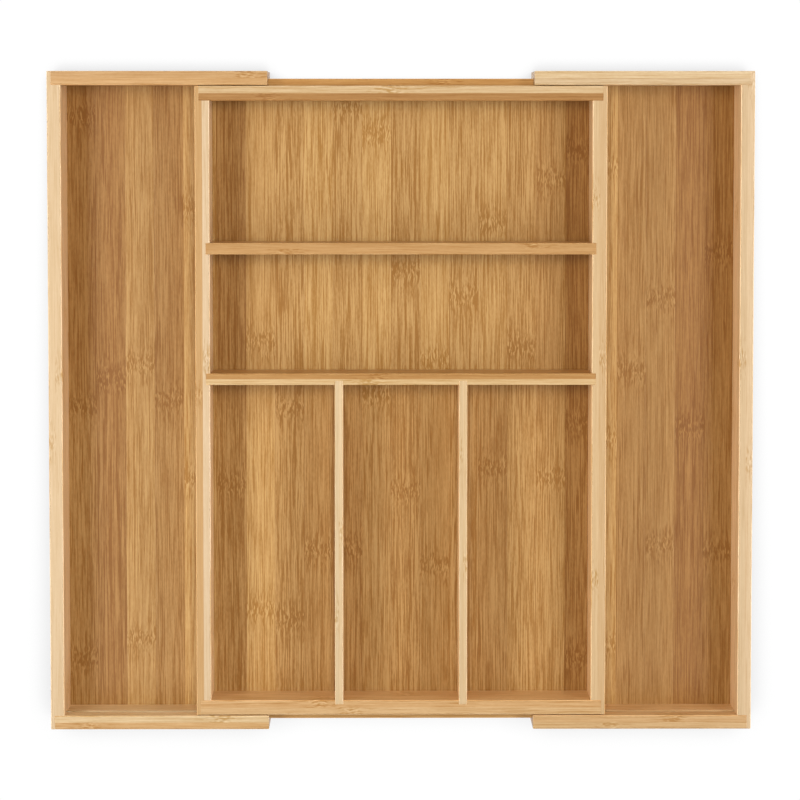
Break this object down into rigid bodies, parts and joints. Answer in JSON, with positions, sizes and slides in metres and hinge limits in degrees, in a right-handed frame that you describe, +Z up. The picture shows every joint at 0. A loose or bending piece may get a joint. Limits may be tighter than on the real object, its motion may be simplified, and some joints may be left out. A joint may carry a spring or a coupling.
{
  "type": "expandable drawer organizer insert",
  "caption": "Shallow rectangular bamboo drawer insert: a divided centre box between two open side trays that slide in under it on rails.",
  "frame": {"origin": "middle of the insert in plan, on the plane of the drawer's bottom that the trays stand on", "axes": "+X along the sliding direction, from the left tray to the right tray; +Y from the front compartments to the rear ones; +Z up out of the compartments"},
  "size_m": [0.48, 0.45, 0.05],
  "materials": {
    "bamboo_wall": "laminated bamboo, clear satin lacquer",
    "bamboo_divider": "laminated bamboo, clear satin lacquer",
    "bamboo_floor": "bamboo strip panel, clear satin lacquer",
    "bamboo_rail": "planed bamboo, clear satin lacquer"
  },
  "bodies": {
    "centre_box": {"centre_left_wall": "bamboo_wall", "centre_right_wall": "bamboo_wall", "centre_back_wall": "bamboo_wall", "centre_front_wall": "bamboo_wall", "centre_floor": "bamboo_floor", "rear_cross_divider": "bamboo_divider", "middle_cross_divider": "bamboo_divider", "left_long_divider": "bamboo_divider", "right_long_divider": "bamboo_divider", "back_rail": "bamboo_rail", "front_rail": "bamboo_rail"},
    "left_tray": {"left_tray_side_wall": "bamboo_wall", "left_tray_back_arm": "bamboo_wall", "left_tray_front_arm": "bamboo_wall", "left_tray_floor": "bamboo_floor", "left_tray_stop_strip": "bamboo_rail"},
    "right_tray": {"right_tray_side_wall": "bamboo_wall", "right_tray_back_arm": "bamboo_wall", "right_tray_front_arm": "bamboo_wall", "right_tray_floor": "bamboo_floor", "right_tray_stop_strip": "bamboo_rail"}
  },
  "joints": [
    {"name": "left_tray_slide", "type": "slide", "parent": "centre_box", "child": "left_tray", "axis": [1, 0, 0], "range_m": [0, 0.09]},
    {"name": "right_tray_slide", "type": "slide", "parent": "centre_box", "child": "right_tray", "axis": [-1, 0, 0], "range_m": [0, 0.09]}
  ]
}
